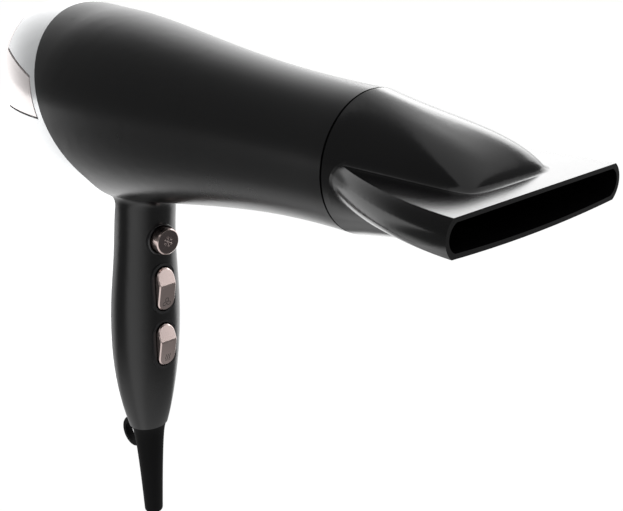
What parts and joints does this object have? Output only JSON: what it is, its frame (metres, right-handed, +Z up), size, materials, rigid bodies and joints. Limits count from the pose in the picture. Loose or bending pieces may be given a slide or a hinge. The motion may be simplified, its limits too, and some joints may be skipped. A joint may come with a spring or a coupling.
{
  "type": "hair dryer",
  "caption": "Hand-held hair dryer with a flared barrel, pull-off rear filter cover, wide concentrator nozzle, rocker switches, cool-shot button and a strain relief with a hanging loop.",
  "frame": {"origin": "middle of the grip, where a hand or a holder closes round it, 105 mm below the barrel's axis", "axes": "+X along the barrel towards the nozzle's mouth, +Z up from the grip to the barrel, +Y to the left of someone who looks along +X"},
  "size_m": [0.2793, 0.0924, 0.2573],
  "materials": {
    "shell_black": "soft-touch satin",
    "shell_silver": "gloss silver lacquer",
    "nozzle_black": "semi-gloss",
    "rose_metal": "champagne rose, satin",
    "grille_plastic": "satin",
    "rubber_black": "smooth",
    "duct_plastic": "satin",
    "fan_plastic": "satin",
    "switch_plastic": "satin",
    "board_green": "board lacquer",
    "mica": "layered mica",
    "heater_wire": "oxidised resistance wire",
    "motor_steel": "drawn steel",
    "core_steel": "stacked laminations",
    "screw_steel": "blackened steel",
    "mesh_steel": "woven wire",
    "copper": "enamelled copper",
    "bronze": "sintered bronze",
    "magnet": "ferrite and carbon"
  },
  "bodies": {
    "body": {"front_shell": "shell_black", "rear_shell": "shell_silver", "handle_screws": "screw_steel", "fan_duct": "duct_plastic", "motor_can": "motor_steel", "motor_end_cap": "duct_plastic", "motor_magnets": "magnet", "carbon_brushes": "magnet", "bearing_rear": "bronze", "bearing_front": "bronze", "heater_sleeve": "mica", "heater_boards": "mica", "heater_coil_rear": "heater_wire", "heater_coil_front": "heater_wire", "thermostat": "motor_steel", "thermal_fuse": "motor_steel", "outlet_grille": "grille_plastic", "cool_button_collar": "rose_metal", "cool_switch": "switch_plastic", "cool_button_spring": "motor_steel", "speed_rocker_pin": "motor_steel", "heat_rocker_pin": "motor_steel", "speed_bezel": "grille_plastic", "heat_bezel": "grille_plastic", "speed_switch": "switch_plastic", "heat_switch": "switch_plastic", "switch_board": "board_green", "strain_relief": "rubber_black", "cord_clamp": "switch_plastic", "clamp_screws": "screw_steel"},
    "filter": {"filter_cover": "shell_silver", "filter_mesh": "mesh_steel"},
    "fan": {"fan_impeller": "fan_plastic", "motor_shaft": "motor_steel", "armature": "core_steel", "armature_windings": "copper", "commutator": "copper"},
    "nozzle_ring": {"nozzle_ring": "motor_steel"},
    "nozzle": {"nozzle": "nozzle_black"},
    "cool_button": {"cool_button": "rose_metal"},
    "speed_rocker": {"speed_rocker": "rose_metal"},
    "heat_rocker": {"heat_rocker": "rose_metal"}
  },
  "joints": [
    {"name": "filter_pull", "type": "slide", "parent": "body", "child": "filter", "axis": [-1, 0, 0], "range_m": [0, 0.02]},
    {"name": "fan_spin", "type": "hinge", "parent": "body", "child": "fan", "pos_m": [0, 0, 0.105], "axis": [1, 0, 0], "continuous": true},
    {"name": "nozzle_pull", "type": "slide", "parent": "body", "child": "nozzle_ring", "axis": [1, 0, 0], "range_m": [0, 0.02]},
    {"name": "nozzle_turn", "type": "hinge", "parent": "nozzle_ring", "child": "nozzle", "pos_m": [0.1497, 0, 0.105], "axis": [1, 0, 0], "continuous": true},
    {"name": "cool_button_press", "type": "slide", "parent": "body", "child": "cool_button", "axis": [-1, 0, 0], "range_m": [0, 0.0025], "stiffness_N_per_m": 800, "deforming": ["cool_button_spring"]},
    {"name": "speed_rocker_tilt", "type": "hinge", "parent": "body", "child": "speed_rocker", "pos_m": [0.0135, 0, 0.018], "axis": [0, 1, 0], "range_deg": [-7, 7]},
    {"name": "heat_rocker_tilt", "type": "hinge", "parent": "body", "child": "heat_rocker", "pos_m": [0.01197, 0, -0.011], "axis": [0, 1, 0], "range_deg": [-7, 7]}
  ]
}
